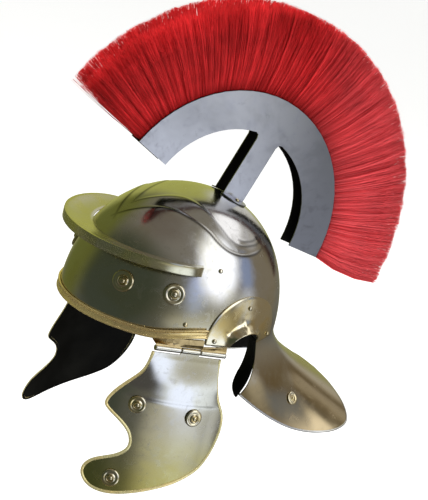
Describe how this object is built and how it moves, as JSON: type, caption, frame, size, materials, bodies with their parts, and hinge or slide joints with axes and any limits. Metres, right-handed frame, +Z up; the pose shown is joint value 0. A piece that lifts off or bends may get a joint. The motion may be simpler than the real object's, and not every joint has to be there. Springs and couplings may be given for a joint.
{
  "type": "roman legionary helmet",
  "caption": "Steel helmet with brow peak, neck guard, brass ear guards and band, hinged cheek pieces and an upright crest holder with a red bristle brush.",
  "frame": {"origin": "centre of the bowl's rim plane, where a head sits", "axes": "+Z up, -Y the way the face looks, +X the wearer's left"},
  "size_m": [0.241, 0.4202, 0.4999],
  "materials": {
    "polished_steel": "polished, warm reflections",
    "brass": "polished",
    "satin_steel": "satin sheet",
    "black_wood": "matt black paint",
    "red_bristle": "dyed bristle"
  },
  "bodies": {
    "helmet": {"bowl_boss_left_1": "brass", "bowl_boss_left_2": "brass", "bowl_boss_right_1": "brass", "bowl_boss_right_2": "brass", "brow_band": "brass", "brow_peak": "polished_steel", "crest_block": "black_wood", "crest_plate_left": "satin_steel", "crest_plate_right": "satin_steel", "ear_guard_left": "brass", "ear_guard_right": "brass", "guard_boss_left": "brass", "guard_boss_right": "brass", "hinge_leaf_left": "brass", "hinge_leaf_right": "brass", "hinge_pin_left": "polished_steel", "hinge_pin_right": "polished_steel", "plume": "red_bristle", "rivet_band_left": "brass", "rivet_band_right": "brass", "rivet_crest_left": "brass", "rivet_crest_right": "brass", "rivet_ear_left_1": "brass", "rivet_ear_left_2": "brass", "rivet_ear_left_3": "brass", "rivet_ear_right_1": "brass", "rivet_ear_right_2": "brass", "rivet_ear_right_3": "brass", "rivet_peak_left": "brass", "rivet_peak_right": "brass", "skull": "polished_steel"},
    "cheek_left": {"cheek_boss_left_1": "brass", "cheek_boss_left_2": "brass", "cheek_boss_left_3": "brass", "cheek_plate_left": "polished_steel", "cheek_trim_left": "brass"},
    "cheek_right": {"cheek_boss_right_1": "brass", "cheek_boss_right_2": "brass", "cheek_boss_right_3": "brass", "cheek_plate_right": "polished_steel", "cheek_trim_right": "brass"}
  },
  "joints": [
    {"name": "cheek_hinge_left", "type": "hinge", "parent": "helmet", "child": "cheek_left", "pos_m": [0.1005, -0.0225, -0.008], "axis": [-0.087, -0.9943, 0.061], "range_deg": [-15, 90]},
    {"name": "cheek_hinge_right", "type": "hinge", "parent": "helmet", "child": "cheek_right", "pos_m": [-0.1005, -0.0225, -0.008], "axis": [-0.087, 0.9943, -0.061], "range_deg": [-15, 90]}
  ]
}
